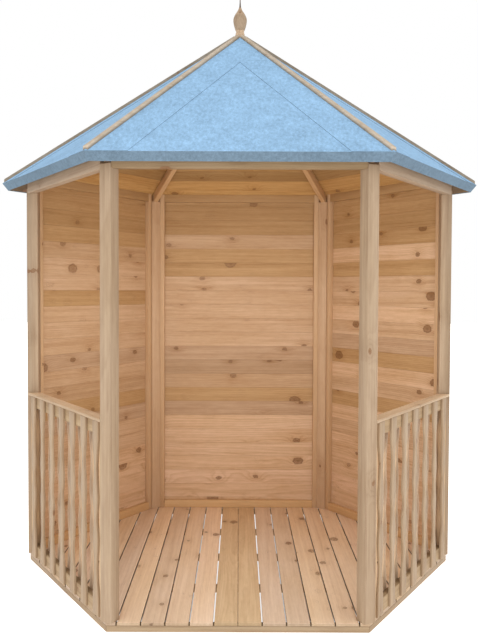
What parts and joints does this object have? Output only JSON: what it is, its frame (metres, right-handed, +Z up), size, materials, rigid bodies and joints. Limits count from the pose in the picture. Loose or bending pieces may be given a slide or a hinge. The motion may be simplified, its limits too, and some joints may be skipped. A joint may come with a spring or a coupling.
{
  "type": "garden gazebo",
  "caption": "Hexagonal open-fronted timber garden gazebo with boarded rear walls, picket balustrades, a slatted floor and a felted pyramid roof topped by a turned finial.",
  "frame": {"origin": "centre of the floor plan, on the ground", "axes": "+Z up; the open front faces -Y; +X is to the right of someone looking in from the front"},
  "size_m": [2.358, 2.057, 2.823],
  "materials": {
    "frame_timber": "planed softwood, unpainted",
    "lining_boards": "planed matchboard, warm tone",
    "floor_boards": "planed softwood, unpainted",
    "trim_timber": "planed softwood, pale",
    "roof_felt": "pale blue mineral-surfaced roofing felt"
  },
  "bodies": {
    "root": {"sill_ring": "frame_timber", "joists": "frame_timber", "floor_boards": "floor_boards", "post_front_left": "frame_timber", "post_front_right": "frame_timber", "post_mid_left": "frame_timber", "post_mid_right": "frame_timber", "post_back_left": "frame_timber", "post_back_right": "frame_timber", "wall_frame_back": "frame_timber", "wall_frame_back_left": "frame_timber", "wall_frame_back_right": "frame_timber", "wall_boards_back": "lining_boards", "wall_boards_back_left": "lining_boards", "wall_boards_back_right": "lining_boards", "header_front": "frame_timber", "header_left": "frame_timber", "header_right": "frame_timber", "balustrade_frame_left": "frame_timber", "balustrade_frame_right": "frame_timber", "outer_pickets_left": "trim_timber", "outer_pickets_right": "trim_timber", "inner_pickets_left": "trim_timber", "inner_pickets_right": "trim_timber", "handrail_left": "trim_timber", "handrail_right": "trim_timber", "roof_panel_front": "lining_boards", "roof_panel_front_left": "lining_boards", "roof_panel_front_right": "lining_boards", "roof_panel_back": "lining_boards", "roof_panel_back_left": "lining_boards", "roof_panel_back_right": "lining_boards", "felt_front": "roof_felt", "felt_front_left": "roof_felt", "felt_front_right": "roof_felt", "felt_back": "roof_felt", "felt_back_left": "roof_felt", "felt_back_right": "roof_felt", "hip_rafters": "frame_timber", "apex_block": "frame_timber", "hip_battens": "trim_timber", "finial": "trim_timber"}
  },
  "joints": []
}
